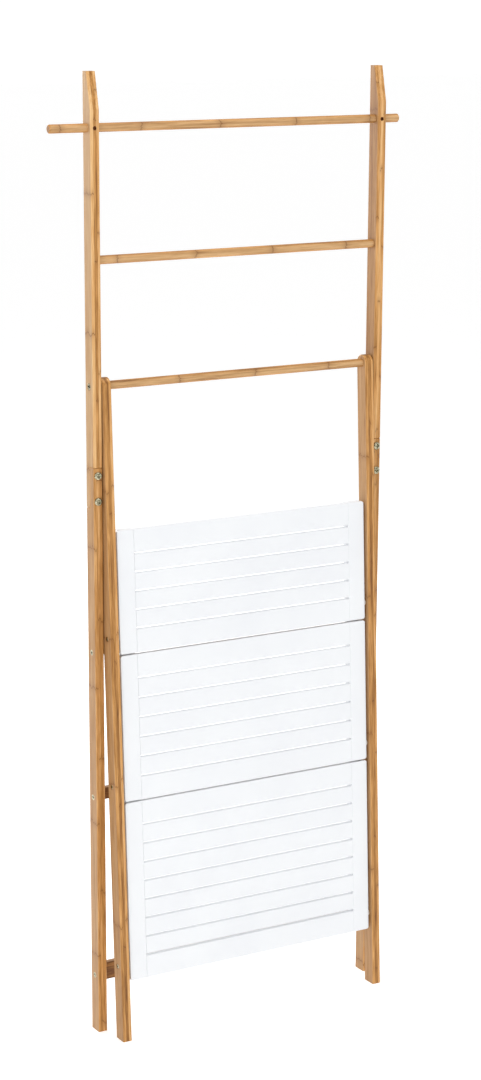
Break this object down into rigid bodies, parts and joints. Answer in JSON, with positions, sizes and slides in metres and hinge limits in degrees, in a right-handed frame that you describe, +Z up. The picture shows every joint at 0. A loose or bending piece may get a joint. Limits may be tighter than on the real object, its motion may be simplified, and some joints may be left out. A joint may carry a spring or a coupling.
{
  "type": "ladder_shelf",
  "caption": "Folding ladder shelf in bamboo with white slatted tilting shelves and towel rails, shown folded",
  "frame": {"origin": "on the floor, midway along the top rail and midway between the front and back faces", "axes": "+X along the rails to the right, +Y backwards, +Z up"},
  "size_m": [0.68, 0.0918, 1.7005],
  "materials": {
    "bamboo": "clear satin lacquer over laminated bamboo",
    "white_lacquer": "white satin lacquer over board",
    "fastener_steel": "zinc plated",
    "dowel_wood": "bare beech",
    "washer_plastic": "moulded nylon"
  },
  "bodies": {
    "outer_frame": {"upper_stile_left": "bamboo", "upper_stile_right": "bamboo", "lower_stile_left": "bamboo", "lower_stile_right": "bamboo", "top_rail": "bamboo", "middle_rail": "bamboo", "upper_rest_bar": "bamboo", "middle_rest_bar": "bamboo", "lower_rest_bar": "bamboo", "lap_bolts": "fastener_steel", "lap_sleeve_nuts": "fastener_steel", "top_rail_screws": "fastener_steel", "rest_bar_screws": "fastener_steel", "rest_bar_dowels": "dowel_wood"},
    "inner_frame": {"leg_left": "bamboo", "leg_right": "bamboo", "pivot_rail": "bamboo", "frame_pivot_bolts": "fastener_steel", "frame_pivot_washers": "washer_plastic"},
    "upper_shelf": {"upper_shelf_batten_left": "white_lacquer", "upper_shelf_batten_right": "white_lacquer", "upper_shelf_slat_1": "white_lacquer", "upper_shelf_slat_2": "white_lacquer", "upper_shelf_slat_3": "white_lacquer", "upper_shelf_slat_4": "white_lacquer", "upper_shelf_slat_5": "white_lacquer", "upper_shelf_slat_6": "white_lacquer", "upper_shelf_pivot_screws": "fastener_steel", "upper_shelf_spacers": "washer_plastic"},
    "middle_shelf": {"middle_shelf_batten_left": "white_lacquer", "middle_shelf_batten_right": "white_lacquer", "middle_shelf_slat_1": "white_lacquer", "middle_shelf_slat_2": "white_lacquer", "middle_shelf_slat_3": "white_lacquer", "middle_shelf_slat_4": "white_lacquer", "middle_shelf_slat_5": "white_lacquer", "middle_shelf_slat_6": "white_lacquer", "middle_shelf_slat_7": "white_lacquer", "middle_shelf_pivot_screws": "fastener_steel", "middle_shelf_spacers": "washer_plastic"},
    "lower_shelf": {"lower_shelf_batten_left": "white_lacquer", "lower_shelf_batten_right": "white_lacquer", "lower_shelf_slat_1": "white_lacquer", "lower_shelf_slat_2": "white_lacquer", "lower_shelf_slat_3": "white_lacquer", "lower_shelf_slat_4": "white_lacquer", "lower_shelf_slat_5": "white_lacquer", "lower_shelf_slat_6": "white_lacquer", "lower_shelf_slat_7": "white_lacquer", "lower_shelf_slat_8": "white_lacquer", "lower_shelf_slat_9": "white_lacquer", "lower_shelf_pivot_screws": "fastener_steel", "lower_shelf_spacers": "washer_plastic"}
  },
  "joints": [
    {"name": "frame_fold", "type": "hinge", "parent": "outer_frame", "child": "inner_frame", "pos_m": [0.0185, 0, 1.17528], "axis": [-1, 0, 0], "range_deg": [-0.3, 11.9]},
    {"name": "upper_shelf_tilt", "type": "hinge", "parent": "inner_frame", "child": "upper_shelf", "pos_m": [0.0185, -0.01178, 0.73434], "axis": [-1, 0, 0], "range_deg": [0, 82.5]},
    {"name": "middle_shelf_tilt", "type": "hinge", "parent": "inner_frame", "child": "middle_shelf", "pos_m": [0.0185, -0.01887, 0.46883], "axis": [-1, 0, 0], "range_deg": [0, 82.5]},
    {"name": "lower_shelf_tilt", "type": "hinge", "parent": "inner_frame", "child": "lower_shelf", "pos_m": [0.0185, -0.0277, 0.13815], "axis": [-1, 0, 0], "range_deg": [0, 82.5]}
  ]
}
